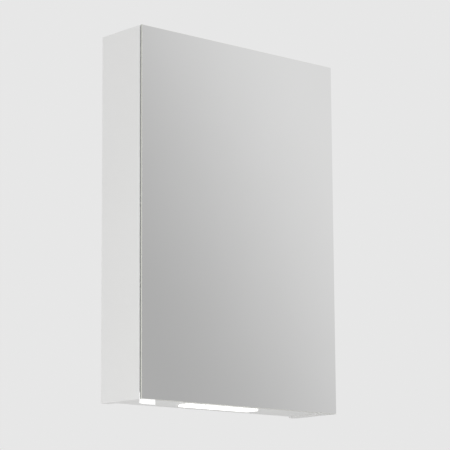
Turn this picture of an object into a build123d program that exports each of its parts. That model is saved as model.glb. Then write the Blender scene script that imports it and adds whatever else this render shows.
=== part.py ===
from build123d import *
import os
from math import cos, radians, sin, tan

# Wall-hung mirror cabinet with one frameless door, mirrored on both faces and hung on the right,
# a lamp let into the bottom panel, glass shelves, and hangers that hook over two wall plates.
# The door's concealed hinges are linkages: two links of different length carry it clear of the side.
# X runs to the right, Y from the door to the wall, Z up. The origin is on the wall plane,
# midway between the four screw holes of the two wall plates.

# Overall sizes, in millimetres
cabinet_width = 500.0
cabinet_height = 710.0
carcass_depth = 113.0
hanger_drop = 66.0
board = 16.0
board_edge_round = 0.8
bottom_recess = 3.0

# Back sheet, let into grooves ahead of the cavity at the wall
wall_cavity = 18.0
back_sheet = 3.0
groove_depth = 6.0
groove_play = 0.1

# Dowels that join the boards
dowel_radius = 4.0
dowel_side_depth = 11.0
dowel_end_depth = 22.0
dowel_end_gap = 1.5
dowel_play = 0.05
dowel_front_setback = 20.0
dowel_rear_setback = 34.0

# Door: two mirror sheets joined by a film
door_gap = 2.5
front_sheet = 2.0
bond_film = 0.5
rear_sheet = 2.0
film_inset = 1.0
mirror_arris = 0.6

# Grip under the door's free lower corner
grip_length = 31.3
grip_drop = 9.5
grip_front_reach = 2.0
grip_rear_reach = 1.5
grip_upstand_height = 12.0
grip_round = 1.2
finger_hollow_radius = 9.0
finger_hollow_rise = 1.6

# Concealed hinges, two alike. Pivots are given inwards from the right side board's inner face
# and back from the carcass front, with the door shut. Heights are given from the hinge's middle
hinge_end_setback = 95.0
arm_outer_inward = 35.9
arm_outer_back = 6.4
arm_inner_inward = 64.1
arm_inner_back = 30.5
cup_outer_inward = 4.5
cup_outer_back = 3.35
cup_inner_inward = 5.8
cup_inner_back = 11.25
hinge_pin_radius = 1.25
hinge_pin_play = 0.05
rivet_head_radius = 2.3
arm_rivet_head = 0.8
cup_rivet_head = 0.6
link_end_radius = 2.8
link_sheet = 1.4
outer_link_half_height = 7.0
inner_link_half_height = 2.1
hub_end_gap = 0.3
slot_play = 0.75
slot_wall = 1.2
slot_inward = 0.9
slot_outward = 1.5
arm_sheet = 1.6
arm_half_height = 9.0
arm_end_radius = 5.0
arm_tail_reach = 13.0
arm_screw_radius = 2.0
arm_screw_head_radius = 3.6
arm_screw_head_height = 2.0
arm_screw_length = 12.0
arm_screw_spacing = 16.0
plate_setback = 37.0
plate_wing_width = 15.0
plate_wing_height = 48.0
plate_wing_thickness = 2.5
plate_screw_spacing = 32.0
plate_screw_radius = 2.0
plate_screw_head_radius = 3.8
plate_screw_depth = 13.0
countersink_angle = 82.0
rail_length = 34.0
rail_shift = 14.0
rail_reach = 16.0
rail_half_height = 7.2
rail_round = 0.8
cup_edge_gap = 1.8
cup_width = 36.0
cup_height = 38.0
cup_corner_radius = 8.0
cup_sheet = 1.5
lug_inner_half = 2.4
lug_sheet = 2.0
lug_root_width = 16.0
lug_root_inset = 1.0

# Buffers between the door and the carcass
buffer_radius = 4.0
buffer_thickness = 2.2
buffer_end_setback = 24.0

# Shelves and their pins
shelf_thickness = 5.0
shelf_front_gap = 6.0
shelf_side_play = 1.5
shelf_back_play = 2.0
shelf_corner_radius = 3.0
shelf_count = 2
pin_hole_radius = 2.5
pin_hole_depth = 9.0
pin_hole_pitch = 32.0
pin_row_holes = 3
pin_row_front_setback = 37.0
pin_row_rear_setback = 38.0
pin_play = 0.05
pin_collar_radius = 4.2
pin_collar_thickness = 1.0
pin_tongue_radius = 3.4
pin_tongue_length = 8.0
pin_tongue_rise = 1.4

# Cabinet hangers and wall plates
hanger_box_width = 44.0
hanger_box_height = 52.0
hanger_box_depth = 10.0
hanger_box_front_gap = 0.3
hanger_sheet = 1.5
hanger_box_low = -22.0
hanger_peg_radius = 4.0
hanger_peg_length = 10.0
hanger_peg_spacing = 32.0
hook_sheet = 3.0
hook_width = 18.0
hook_play = 0.4
hook_lip_length = 10.0
hook_stem_low = -16.0
hanger_screw_radius = 2.5
hanger_screw_head_radius = 4.2
hanger_screw_head_height = 2.2
hanger_screw_spacing = 18.0
hanger_screw_middle = 4.0
hanger_recess_width = 0.9
hanger_recess_length = 5.0
plate_sheet = 2.0
plate_width = 40.0
plate_low = -20.0
plate_leaf_top = 15.0
plate_joggle_rise = 6.0
plate_lip_gap = 4.2
plate_lip_height = 12.0
plate_hole_radius = 2.75
plate_hole_rise = 20.0
plate_corner_radius = 3.0
cap_width = 30.0
cap_height = 46.0
cap_reach = 4.0
cap_wall = 1.2
cap_plug_inset = 3.0
cap_play = 0.1
cap_corner_radius = 6.0

# Lamp in the bottom panel
lamp_width = 176.0
lamp_depth = 33.0
lamp_drop = 3.0
lamp_front_setback = 36.5
lamp_offset = -9.0
lamp_corner_radius = 1.5
lens_wall = 1.5
pocket_inset = 3.0
pocket_height = 10.0
tray_play = 0.3
tray_wall = 1.2
led_strip_width = 10.0
led_strip_thickness = 1.4
led_strip_length = 160.0
led_count = 16
led_pitch = 9.8
led_size = 3.0
led_height = 0.8

# Driver for the lamp, on the bottom panel in the cavity at the wall
driver_length = 130.0
driver_height = 30.0
driver_depth = 14.0
driver_side_gap = 59.0
driver_edge_round = 2.0
driver_foot_length = 10.0
driver_foot_thickness = 3.0
driver_screw_radius = 1.75
driver_screw_length = 12.0
driver_screw_head_radius = 3.4
driver_screw_head_height = 2.2
terminal_room_length = 34.0
terminal_wall = 2.0
terminal_lid = 1.6
inlet_radius = 3.5
lead_plug_depth = 4.0
lead_radius = 1.8
lead_bend_radius = 8.0
lead_bore_radius = 3.5
lead_bore_rise = 5.5
lead_notch_width = 12.0
lead_notch_front = 14.0
lead_notch_rear = 3.0

# Rocker switch in the back sheet
switch_setback = 30.0
switch_rise = 80.0
switch_bezel_width = 22.0
switch_bezel_height = 32.0
switch_bezel_thickness = 2.0
switch_body_inset = 1.6
switch_body_depth = 12.0
switch_wall = 1.8
rocker_play = 0.3
rocker_tilt = 10.0
rocker_rise = 3.4
rocker_belly_radius = 7.0
rocker_pin_radius = 1.5
rocker_pin_length = 1.2
rocker_pin_play = 0.06

# Planes, faces and places worked out from the sizes above
half_width = cabinet_width / 2
inner_half = half_width - board
top_z = hanger_drop
floor_z = top_z - cabinet_height
bottom_under_z = floor_z + bottom_recess
bottom_top_z = bottom_under_z + board
ceiling_z = top_z - board
carcass_front = -carcass_depth
back_rear = -wall_cavity
back_front = back_rear - back_sheet
door_rear = carcass_front - door_gap
film_rear = door_rear - rear_sheet
film_front = film_rear - bond_film
door_front = film_front - front_sheet
bottom_mid_z = bottom_under_z + board / 2
top_mid_z = top_z - board / 2
dowel_rows = (carcass_front + dowel_front_setback, -dowel_rear_setback)
pin_columns = (carcass_front + pin_row_front_setback, -pin_row_rear_setback)
shelf_space = (ceiling_z - bottom_top_z) / (shelf_count + 1)
shelf_levels = [bottom_top_z + shelf_space * (n + 1) for n in range(shelf_count)]
hanger_x = inner_half - hanger_box_width / 2
hanger_box_front = back_rear + hanger_box_front_gap
hanger_box_rear = hanger_box_front + hanger_box_depth
hanger_box_mid_z = hanger_box_low + hanger_box_height / 2
lamp_y = carcass_front + lamp_front_setback + lamp_depth / 2
lead_bore_z = bottom_under_z + lead_bore_rise
switch_x = inner_half - switch_setback
switch_z = bottom_top_z + switch_rise
hinge_levels = (floor_z + hinge_end_setback, top_z - hinge_end_setback)
hinge_names = ("lower", "upper")
plate_y = carcass_front + plate_setback
rail_mid_y = plate_y + rail_shift
rail_front_y = rail_mid_y - rail_length / 2
arm_web_x = inner_half - rail_reach - arm_sheet
cup_edge_x = inner_half - cup_edge_gap
lug_outer_half = lug_inner_half + lug_sheet
driver_x = inner_half - driver_side_gap - driver_length / 2
driver_mid_y = -wall_cavity / 2
driver_front = driver_mid_y - driver_depth / 2
driver_rear = driver_mid_y + driver_depth / 2
driver_screw_step = (driver_length + driver_foot_length) / 2
driver_screw_places = (driver_x - driver_screw_step, driver_x + driver_screw_step)
inlet_z = bottom_top_z + driver_height / 2
lead_high_z = inlet_z


def facing(side, x, y, z):
    """Plane on an upright face at x, looking towards the cabinet's middle. Local x runs along -side*Y."""
    return Plane(origin=(x, y, z), x_dir=(0, -side, 0), z_dir=(-side, 0, 0))


def looking_forward(x, y, z):
    """Plane that looks out of the door's side, local x to the right and local y up."""
    return Plane(origin=(x, y, z), x_dir=(1, 0, 0), z_dir=(0, -1, 0))


def pivot(inward, back):
    """Place of a hinge pivot, inwards from the right side board and back from the carcass front."""
    return (inner_half - inward, carcass_front + back)


arm_outer = pivot(arm_outer_inward, arm_outer_back)
arm_inner = pivot(arm_inner_inward, arm_inner_back)
cup_outer = pivot(cup_outer_inward, cup_outer_back)
cup_inner = pivot(cup_inner_inward, cup_inner_back)

os.makedirs("parts", exist_ok=True)
finished = []


def keep(builder, name):
    """Label a finished piece for its file."""
    builder.part.label = name
    finished.append(builder.part)


# Side boards: grooved for the back sheet and drilled for dowels, shelf pins and hanger pegs
def side_board(side):
    with BuildPart() as made:
        with BuildSketch(Plane.XY.offset(floor_z)):
            with Locations((side * (half_width - board / 2), carcass_front / 2)):
                Rectangle(board, carcass_depth)
        extrude(amount=cabinet_height)
        front_edges = made.edges().filter_by(Axis.Z).group_by(Axis.Y)[0]
        fillet(front_edges, board_edge_round)
        with BuildSketch(Plane.XY.offset(bottom_top_z - groove_depth)):
            with Locations((side * (inner_half + groove_depth / 2), back_rear - back_sheet / 2)):
                Rectangle(groove_depth, back_sheet + 2 * groove_play)
        extrude(amount=ceiling_z - bottom_top_z + 2 * groove_depth, mode=Mode.SUBTRACT)
        for row_z in (bottom_mid_z, top_mid_z):
            for row_y in dowel_rows:
                with Locations(facing(side, side * inner_half, row_y, row_z)):
                    Hole(dowel_radius + dowel_play, dowel_side_depth)
        for level in shelf_levels:
            for column_y in pin_columns:
                with Locations(facing(side, side * inner_half, column_y, level)):
                    with GridLocations(0, pin_hole_pitch, 1, pin_row_holes):
                        Hole(pin_hole_radius, pin_hole_depth)
        peg_y = hanger_box_front + hanger_box_depth / 2
        with Locations(facing(side, side * inner_half, peg_y, hanger_box_mid_z)):
            with GridLocations(0, hanger_peg_spacing, 1, 2):
                Hole(hanger_peg_radius + dowel_play, hanger_peg_length + dowel_end_gap)
        if side > 0:
            for hinge_z in hinge_levels:
                with Locations(facing(side, inner_half, plate_y, hinge_z)):
                    with GridLocations(0, plate_screw_spacing, 1, 2):
                        Hole(plate_screw_radius, plate_screw_depth + dowel_end_gap)
    return made


# Top and bottom boards, between the side boards, with dowel holes in both ends
def level_board(under_z, groove_z):
    with BuildPart() as made:
        with BuildSketch(Plane.XY.offset(under_z)):
            with Locations((0, carcass_front / 2)):
                Rectangle(2 * inner_half, carcass_depth)
        extrude(amount=board)
        front_edges = made.edges().filter_by(Axis.X).group_by(Axis.Y)[0]
        fillet(front_edges, board_edge_round)
        with BuildSketch(Plane.XY.offset(groove_z)):
            with Locations((0, back_rear - back_sheet / 2)):
                Rectangle(2 * inner_half, back_sheet + 2 * groove_play)
        extrude(amount=groove_depth, mode=Mode.SUBTRACT)
        for side in (-1, 1):
            for row_y in dowel_rows:
                end = Plane(origin=(side * inner_half, row_y, under_z + board / 2), z_dir=(side, 0, 0))
                with Locations(end):
                    Hole(dowel_radius + dowel_play, dowel_end_depth)
    return made


# Carcass boards
right_side_panel = side_board(1)
keep(right_side_panel, "right_side_panel")

left_side_panel = side_board(-1)
keep(left_side_panel, "left_side_panel")

top_panel = level_board(ceiling_z, ceiling_z)
keep(top_panel, "top_panel")

# The bottom board also has the lamp's pocket and the way for its lead
plain_bottom = level_board(bottom_under_z, bottom_top_z - groove_depth)
with BuildPart() as bottom_panel:
    add(plain_bottom.part)
    with BuildSketch(Plane.XY.offset(bottom_under_z)):
        with Locations((lamp_offset, lamp_y)):
            Rectangle(lamp_width - 2 * pocket_inset, lamp_depth - 2 * pocket_inset)
    extrude(amount=pocket_height, mode=Mode.SUBTRACT)
    with Locations(Plane(origin=(lamp_offset, 0, lead_bore_z), z_dir=(0, 1, 0))):
        Hole(lead_bore_radius, -lamp_y)
    with BuildSketch(Plane.XY.offset(lead_bore_z - lead_bore_radius)):
        with Locations((lamp_offset, -(lead_notch_front + lead_notch_rear) / 2)):
            Rectangle(lead_notch_width, lead_notch_front - lead_notch_rear)
    extrude(amount=board, mode=Mode.SUBTRACT)
    for foot_x in driver_screw_places:
        with Locations(Plane.XY.offset(bottom_top_z)):
            with Locations((foot_x, driver_mid_y)):
                Hole(driver_screw_radius, driver_screw_length - driver_foot_thickness + dowel_end_gap)
keep(bottom_panel, "bottom_panel")

# Dowels, two in each corner
dowel_length = dowel_side_depth + dowel_end_depth - 2 * dowel_end_gap
with BuildPart() as corner_dowels:
    for side in (-1, 1):
        outer_x = side * (inner_half + dowel_side_depth - dowel_end_gap)
        for row_z in (bottom_mid_z, top_mid_z):
            for row_y in dowel_rows:
                with BuildSketch(Plane(origin=(outer_x, row_y, row_z), z_dir=(-side, 0, 0))):
                    Circle(dowel_radius)
                extrude(amount=dowel_length)
    chamfer(corner_dowels.edges().filter_by(GeomType.CIRCLE), dowel_end_gap / 2)
keep(corner_dowels, "corner_dowels")

# Back sheet, with a window at each hanger and one for the switch
back_half_width = inner_half + groove_depth - groove_play
back_low = bottom_top_z - groove_depth
back_high = ceiling_z + groove_depth - groove_play
with BuildPart() as back_panel:
    with BuildSketch(Plane.XZ.offset(-back_rear)):
        with Locations((0, (back_low + back_high) / 2)):
            Rectangle(2 * back_half_width, back_high - back_low)
        with Locations((-hanger_x, hanger_screw_middle), (hanger_x, hanger_screw_middle)):
            RectangleRounded(
                cap_width - 2 * cap_plug_inset,
                cap_height - 2 * cap_plug_inset,
                cap_corner_radius - cap_plug_inset,
                mode=Mode.SUBTRACT,
            )
        with Locations((switch_x, switch_z)):
            Rectangle(
                switch_bezel_width - 2 * switch_body_inset + 2 * groove_play,
                switch_bezel_height - 2 * switch_body_inset + 2 * groove_play,
                mode=Mode.SUBTRACT,
            )
    extrude(amount=back_sheet)
keep(back_panel, "back_panel")


# Mirror sheets of the door, front one and rear one, with polished arrises, and the film between them
def mirror_sheet(rear_y, thickness, arris_side):
    with BuildPart() as made:
        with BuildSketch(Plane.XZ.offset(-rear_y)):
            with Locations((0, (top_z + floor_z) / 2)):
                Rectangle(cabinet_width, cabinet_height)
        extrude(amount=thickness)
        outer_edges = made.faces().sort_by(Axis.Y)[arris_side].edges()
        chamfer(outer_edges, mirror_arris)
    return made


front_mirror = mirror_sheet(film_front, front_sheet, 0)
keep(front_mirror, "front_mirror")

rear_mirror = mirror_sheet(door_rear, rear_sheet, -1)
keep(rear_mirror, "rear_mirror")

with BuildPart() as mirror_bond_film:
    with BuildSketch(Plane.XZ.offset(-film_rear)):
        with Locations((0, (top_z + floor_z) / 2)):
            Rectangle(cabinet_width - 2 * film_inset, cabinet_height - 2 * film_inset)
    extrude(amount=bond_film)
keep(mirror_bond_film, "mirror_bond_film")

# Grip: a bar under the door's lower left corner with an upstand bonded to the rear mirror
grip_front = door_front - grip_front_reach
grip_rear = door_rear + grip_rear_reach
grip_under = floor_z - grip_drop
hollow_y = grip_rear
hollow_z = grip_under - finger_hollow_radius + finger_hollow_rise
with BuildPart() as door_grip:
    with BuildSketch(Plane.YZ.offset(-half_width)):
        with BuildLine():
            Polyline(
                (grip_front, grip_under),
                (grip_rear, grip_under),
                (grip_rear, floor_z + grip_upstand_height),
                (door_rear, floor_z + grip_upstand_height),
                (door_rear, floor_z),
                (grip_front, floor_z),
                close=True,
            )
        make_face()
        with Locations((hollow_y, hollow_z)):
            Circle(finger_hollow_radius, mode=Mode.SUBTRACT)
    extrude(amount=grip_length)
    front_edges = door_grip.faces().sort_by(Axis.Y)[0].edges()
    fillet(front_edges.filter_by(Axis.Z), grip_round / 2)
    lower_edges = door_grip.edges().filter_by(Axis.X).group_by(Axis.Y)[0]
    fillet(lower_edges, grip_round / 2)
keep(door_grip, "door_grip")

# Buffers on the front edge of the left side board
with BuildPart() as door_buffers:
    for buffer_z in (floor_z + buffer_end_setback, top_z - buffer_end_setback):
        with BuildSketch(looking_forward(-half_width + board / 2, carcass_front, buffer_z)):
            Circle(buffer_radius)
        extrude(amount=buffer_thickness)
    fillet(door_buffers.faces().group_by(Axis.Y)[0].edges(), buffer_thickness / 2)
keep(door_buffers, "door_buffers")

# Glass shelves
shelf_half = inner_half - shelf_side_play
shelf_rear = back_front - shelf_back_play
shelf_depth = shelf_rear - shelf_front_gap - carcass_front
for number, level in enumerate(shelf_levels, start=1):
    with BuildPart() as glass_shelf:
        with BuildSketch(Plane.XY.offset(level + pin_tongue_rise)):
            with Locations((0, shelf_rear - shelf_depth / 2)):
                RectangleRounded(2 * shelf_half, shelf_depth, shelf_corner_radius)
        extrude(amount=shelf_thickness)
        chamfer(glass_shelf.faces().sort_by(Axis.Z)[-1].edges(), mirror_arris)
    keep(glass_shelf, "glass_shelf_lower" if number == 1 else "glass_shelf_upper")

# Shelf pins: a round shank in the board, a collar, and a tongue with a flat top
with BuildPart() as shelf_pins:
    for side in (-1, 1):
        for level in shelf_levels:
            for column_y in pin_columns:
                face = Plane(origin=(side * inner_half, column_y, level), z_dir=(-side, 0, 0))
                with BuildSketch(face):
                    Circle(pin_hole_radius - pin_play)
                extrude(amount=-(pin_hole_depth - dowel_end_gap))
                with BuildSketch(face):
                    Circle(pin_collar_radius)
                extrude(amount=pin_collar_thickness)
                with BuildSketch(facing(side, side * inner_half, column_y, level)):
                    Circle(pin_tongue_radius)
                    with Locations((0, pin_tongue_rise + pin_tongue_radius)):
                        Rectangle(
                            2 * pin_tongue_radius,
                            2 * pin_tongue_radius,
                            mode=Mode.SUBTRACT,
                        )
                extrude(amount=pin_tongue_length)
keep(shelf_pins, "shelf_pins")


# Hanger box: folded sheet, open at the rear, with a slot for the hook and pegs in the side board
def hanger_box(side):
    middle = side * hanger_x
    with BuildPart() as made:
        with BuildSketch(looking_forward(middle, hanger_box_rear, hanger_box_mid_z)):
            Rectangle(hanger_box_width, hanger_box_height)
        extrude(amount=hanger_box_depth)
        fillet(made.edges().filter_by(Axis.Y), hanger_sheet)
        with BuildSketch(looking_forward(middle, hanger_box_rear, hanger_box_mid_z)):
            Rectangle(hanger_box_width - 2 * hanger_sheet, hanger_box_height - 2 * hanger_sheet)
        extrude(amount=hanger_box_depth - hanger_sheet, mode=Mode.SUBTRACT)
        with BuildSketch(Plane.XY.offset(hanger_box_mid_z)):
            with Locations((middle, (hook_front + hanger_box_rear) / 2)):
                Rectangle(hook_width + 2 * hook_play, hanger_box_rear - hook_front + 2 * hook_play)
        extrude(amount=hanger_box_height, mode=Mode.SUBTRACT)
        with Locations(looking_forward(middle, hanger_box_front, hanger_screw_middle)):
            with GridLocations(0, hanger_screw_spacing, 1, 2):
                Hole(hanger_screw_radius + dowel_play, 2 * hanger_sheet)
        peg_y = hanger_box_front + hanger_box_depth / 2
        for step in (-1, 1):
            peg_z = hanger_box_mid_z + step * hanger_peg_spacing / 2
            with BuildSketch(Plane(origin=(side * inner_half, peg_y, peg_z), z_dir=(side, 0, 0))):
                Circle(hanger_peg_radius)
            extrude(amount=hanger_peg_length)
    return made


# Hanger hook: a flat stem that rises out of the box and bends over the wall plate's lip
def hanger_hook(side):
    with BuildPart() as made:
        with BuildSketch(Plane.YZ.offset(side * hanger_x - hook_width / 2)):
            with BuildLine():
                Polyline(
                    (hook_front, hook_stem_low),
                    (hook_front, hook_crown_z),
                    (hook_lip_rear, hook_crown_z),
                    (hook_lip_rear, plate_lip_top - hook_lip_length),
                    (hook_lip_front, plate_lip_top - hook_lip_length),
                    (hook_lip_front, plate_lip_top),
                    (hook_front + hook_sheet, plate_lip_top),
                    (hook_front + hook_sheet, hook_stem_low),
                    close=True,
                )
            make_face()
        extrude(amount=hook_width)
        crown = made.edges().filter_by(Axis.X).group_by(Axis.Z)[-1]
        fillet(crown, hook_sheet)
        with Locations(looking_forward(side * hanger_x, hook_front, hanger_screw_middle)):
            with GridLocations(0, hanger_screw_spacing, 1, 2):
                Hole(hanger_screw_radius + dowel_play, hook_sheet)
    return made


# Wall plate: a leaf screwed to the wall, stepped forward into a lip that carries the hook
def wall_plate(side):
    middle = side * hanger_x
    with BuildPart() as made:
        with BuildSketch(Plane.YZ.offset(middle - plate_width / 2)):
            with BuildLine():
                Polyline(
                    (0, plate_low),
                    (0, plate_leaf_top),
                    (plate_lip_rear, plate_lip_low),
                    (plate_lip_rear, plate_lip_top),
                    (plate_lip_rear - plate_sheet, plate_lip_top),
                    (plate_lip_rear - plate_sheet, plate_lip_low),
                    (-plate_sheet, plate_leaf_top),
                    (-plate_sheet, plate_low),
                    close=True,
                )
            make_face()
        extrude(amount=plate_width)
        foot_edges = made.edges().filter_by(Axis.Y).group_by(Axis.Z)[0]
        fillet(foot_edges, plate_corner_radius)
        with Locations(looking_forward(middle, -plate_sheet, 0)):
            with GridLocations(0, plate_hole_rise, 1, 2):
                Hole(plate_hole_radius, 2 * plate_sheet)
    return made


# Cover cap over a hanger's window in the back sheet
def hanger_cap(side):
    middle = side * hanger_x
    cap_place = looking_forward(middle, back_front, hanger_screw_middle)
    window_width = cap_width - 2 * cap_plug_inset
    window_height = cap_height - 2 * cap_plug_inset
    window_radius = cap_corner_radius - cap_plug_inset
    with BuildPart() as made:
        with BuildSketch(cap_place):
            RectangleRounded(cap_width, cap_height, cap_corner_radius)
        extrude(amount=cap_reach)
        fillet(made.faces().sort_by(Axis.Y)[0].edges(), cap_wall)
        with BuildSketch(cap_place):
            RectangleRounded(
                window_width - 2 * cap_play,
                window_height - 2 * cap_play,
                window_radius - cap_play,
            )
        extrude(amount=-back_sheet + cap_wall)
        with BuildSketch(cap_place.offset(-back_sheet)):
            RectangleRounded(
                window_width - 2 * cap_play - 2 * cap_wall,
                window_height - 2 * cap_play - 2 * cap_wall,
                window_radius - cap_play - cap_wall,
            )
        extrude(amount=back_sheet + cap_reach - cap_wall, mode=Mode.SUBTRACT)
    return made


hook_front = hanger_box_front + hanger_sheet + hook_play
plate_lip_rear = -plate_lip_gap
plate_lip_low = plate_leaf_top + plate_joggle_rise
plate_lip_top = plate_lip_low + plate_lip_height
hook_lip_rear = plate_lip_rear + hook_play + hook_sheet
hook_lip_front = plate_lip_rear + hook_play
hook_crown_z = plate_lip_top + hook_sheet
for side, side_name in ((-1, "left"), (1, "right")):
    keep(hanger_box(side), "hanger_box_" + side_name)
    keep(hanger_hook(side), "hanger_hook_" + side_name)
    keep(wall_plate(side), "wall_plate_" + side_name)
    keep(hanger_cap(side), "hanger_cap_" + side_name)

# Adjusting screws of the hangers, upper ones for height and lower ones for depth
with BuildPart() as hanger_screws:
    for side in (-1, 1):
        for step in (-1, 1):
            screw_z = hanger_screw_middle + step * hanger_screw_spacing / 2
            seat = looking_forward(side * hanger_x, hanger_box_front, screw_z)
            with BuildSketch(seat):
                Circle(hanger_screw_head_radius)
            extrude(amount=hanger_screw_head_height)
            with BuildSketch(seat):
                Circle(hanger_screw_radius)
            extrude(amount=-(hanger_sheet + hook_play + hook_sheet + hook_play))
            with BuildSketch(seat.offset(hanger_screw_head_height)):
                Rectangle(hanger_recess_width, hanger_recess_length)
                Rectangle(hanger_recess_length, hanger_recess_width)
            extrude(amount=-hanger_screw_head_height / 2, mode=Mode.SUBTRACT)
keep(hanger_screws, "hanger_screws")

# Lamp: an aluminium tray in the bottom board, a strip of light-emitting diodes and an opal lens
tray_place = Plane.XY.offset(bottom_under_z)
tray_width = lamp_width - 2 * pocket_inset - 2 * tray_play
tray_depth = lamp_depth - 2 * pocket_inset - 2 * tray_play
with BuildPart() as lamp_tray:
    with BuildSketch(tray_place):
        with Locations((lamp_offset, lamp_y)):
            Rectangle(tray_width, tray_depth)
    extrude(amount=pocket_height)
    with BuildSketch(tray_place):
        with Locations((lamp_offset, lamp_y)):
            Rectangle(tray_width - 2 * tray_wall, tray_depth - 2 * tray_wall)
    extrude(amount=pocket_height - tray_wall, mode=Mode.SUBTRACT)
    with Locations(Plane(origin=(lamp_offset, lamp_y + tray_depth / 2, lead_bore_z), z_dir=(0, 1, 0))):
        Hole(lead_radius + groove_play, 2 * tray_wall)
keep(lamp_tray, "lamp_tray")

strip_z = bottom_under_z + pocket_height - tray_wall
with BuildPart() as lamp_strip:
    with BuildSketch(Plane.XY.offset(strip_z)):
        with Locations((lamp_offset, lamp_y)):
            Rectangle(led_strip_length, led_strip_width)
    extrude(amount=-led_strip_thickness)
    with BuildSketch(Plane.XY.offset(strip_z - led_strip_thickness)):
        with Locations((lamp_offset, lamp_y)):
            with GridLocations(led_pitch, 0, led_count, 1):
                Rectangle(led_size, led_size)
    extrude(amount=-led_height)
keep(lamp_strip, "lamp_strip")

with BuildPart() as lamp_lens:
    with BuildSketch(tray_place):
        with Locations((lamp_offset, lamp_y)):
            RectangleRounded(lamp_width, lamp_depth, lamp_corner_radius)
    extrude(amount=-lamp_drop)
    with BuildSketch(tray_place):
        with Locations((lamp_offset, lamp_y)):
            Rectangle(tray_width - 2 * tray_wall, tray_depth - 2 * tray_wall)
    extrude(amount=-(lamp_drop - lens_wall), mode=Mode.SUBTRACT)
    fillet(lamp_lens.faces().sort_by(Axis.Z)[0].edges(), lens_wall / 2)
keep(lamp_lens, "lamp_lens")

# Driver case: a closed electronics end, and a terminal room with the mains inlet and a lid
driver_low = bottom_top_z
case_half = driver_length / 2
room_x = driver_x + case_half - terminal_wall - terminal_room_length / 2
with BuildPart() as driver_case:
    with BuildSketch(Plane.XY.offset(driver_low)):
        with Locations((driver_x, driver_mid_y)):
            Rectangle(driver_length, driver_depth)
    extrude(amount=driver_height)
    fillet(driver_case.edges().filter_by(Axis.X), driver_edge_round)
    with BuildSketch(Plane.XY.offset(driver_low)):
        with Locations((driver_x, driver_mid_y)):
            Rectangle(driver_length + 2 * driver_foot_length, driver_depth - 2 * driver_edge_round)
    extrude(amount=driver_foot_thickness)
    with BuildSketch(looking_forward(room_x, driver_front, driver_low + driver_height / 2)):
        Rectangle(terminal_room_length, driver_height - 2 * terminal_wall)
    extrude(amount=-(driver_depth - terminal_wall), mode=Mode.SUBTRACT)
    with Locations(Plane(origin=(room_x, driver_rear, inlet_z), z_dir=(0, 1, 0))):
        Hole(inlet_radius, terminal_wall)
    with Locations(Plane(origin=(driver_x - case_half, driver_mid_y, lead_high_z), z_dir=(-1, 0, 0))):
        Hole(lead_radius + groove_play, lead_plug_depth)
    for foot_x in driver_screw_places:
        with Locations(Plane.XY.offset(driver_low + driver_foot_thickness)):
            with Locations((foot_x, driver_mid_y)):
                Hole(driver_screw_radius + groove_play, driver_foot_thickness)
keep(driver_case, "driver_case")

with BuildPart() as driver_lid:
    with BuildSketch(looking_forward(room_x, driver_front + terminal_lid, driver_low + driver_height / 2)):
        Rectangle(
            terminal_room_length - 2 * groove_play,
            driver_height - 2 * terminal_wall - 2 * groove_play,
        )
    extrude(amount=terminal_lid)
keep(driver_lid, "driver_lid")

with BuildPart() as driver_screws:
    for foot_x in driver_screw_places:
        seat = Plane.XY.offset(driver_low + driver_foot_thickness)
        with BuildSketch(seat):
            with Locations((foot_x, driver_mid_y)):
                Circle(driver_screw_head_radius)
        extrude(amount=driver_screw_head_height)
        with BuildSketch(seat):
            with Locations((foot_x, driver_mid_y)):
                Circle(driver_screw_radius - dowel_play)
        extrude(amount=-driver_screw_length)
keep(driver_screws, "driver_screws")

# Lead from the driver down through the bottom board to the lamp's tray
lead_start_x = driver_x - case_half + lead_plug_depth - dowel_end_gap
lead_end_y = lamp_y + tray_depth / 2 - tray_wall
with BuildPart() as lamp_lead:
    with BuildLine() as lead_path:
        FilletPolyline(
            (lead_start_x, driver_mid_y, lead_high_z),
            (lamp_offset, driver_mid_y, lead_high_z),
            (lamp_offset, driver_mid_y, lead_bore_z),
            (lamp_offset, lead_end_y, lead_bore_z),
            radius=lead_bend_radius,
        )
    with BuildSketch(Plane(origin=lead_path.line @ 0, z_dir=lead_path.line % 0)):
        Circle(lead_radius)
    sweep(path=lead_path.line)
keep(lamp_lead, "lamp_lead")

# Rocker switch: a frame let into the back sheet and a rocker on two short pins
frame_width = switch_bezel_width - 2 * switch_body_inset
frame_height = switch_bezel_height - 2 * switch_body_inset
well_width = frame_width - 2 * switch_wall
well_height = frame_height - 2 * switch_wall
pivot_y = back_front
switch_place = looking_forward(switch_x, back_front, switch_z)
with BuildPart() as switch_frame:
    with BuildSketch(switch_place):
        Rectangle(frame_width, frame_height)
    extrude(amount=-switch_body_depth)
    with BuildSketch(switch_place):
        RectangleRounded(switch_bezel_width, switch_bezel_height, switch_body_inset)
    extrude(amount=switch_bezel_thickness)
    fillet(switch_frame.faces().sort_by(Axis.Y)[0].edges(), switch_bezel_thickness / 3)
    with BuildSketch(switch_place.offset(switch_bezel_thickness)):
        Rectangle(well_width, well_height)
    extrude(amount=-(switch_bezel_thickness + switch_body_depth - switch_wall), mode=Mode.SUBTRACT)
    with BuildSketch(Plane.YZ.offset(switch_x - well_width / 2 - rocker_pin_length - rocker_play)):
        with Locations((pivot_y, switch_z)):
            Circle(rocker_pin_radius + rocker_pin_play)
    extrude(amount=well_width + 2 * rocker_pin_length + 2 * rocker_play, mode=Mode.SUBTRACT)
keep(switch_frame, "switch_frame")

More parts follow.
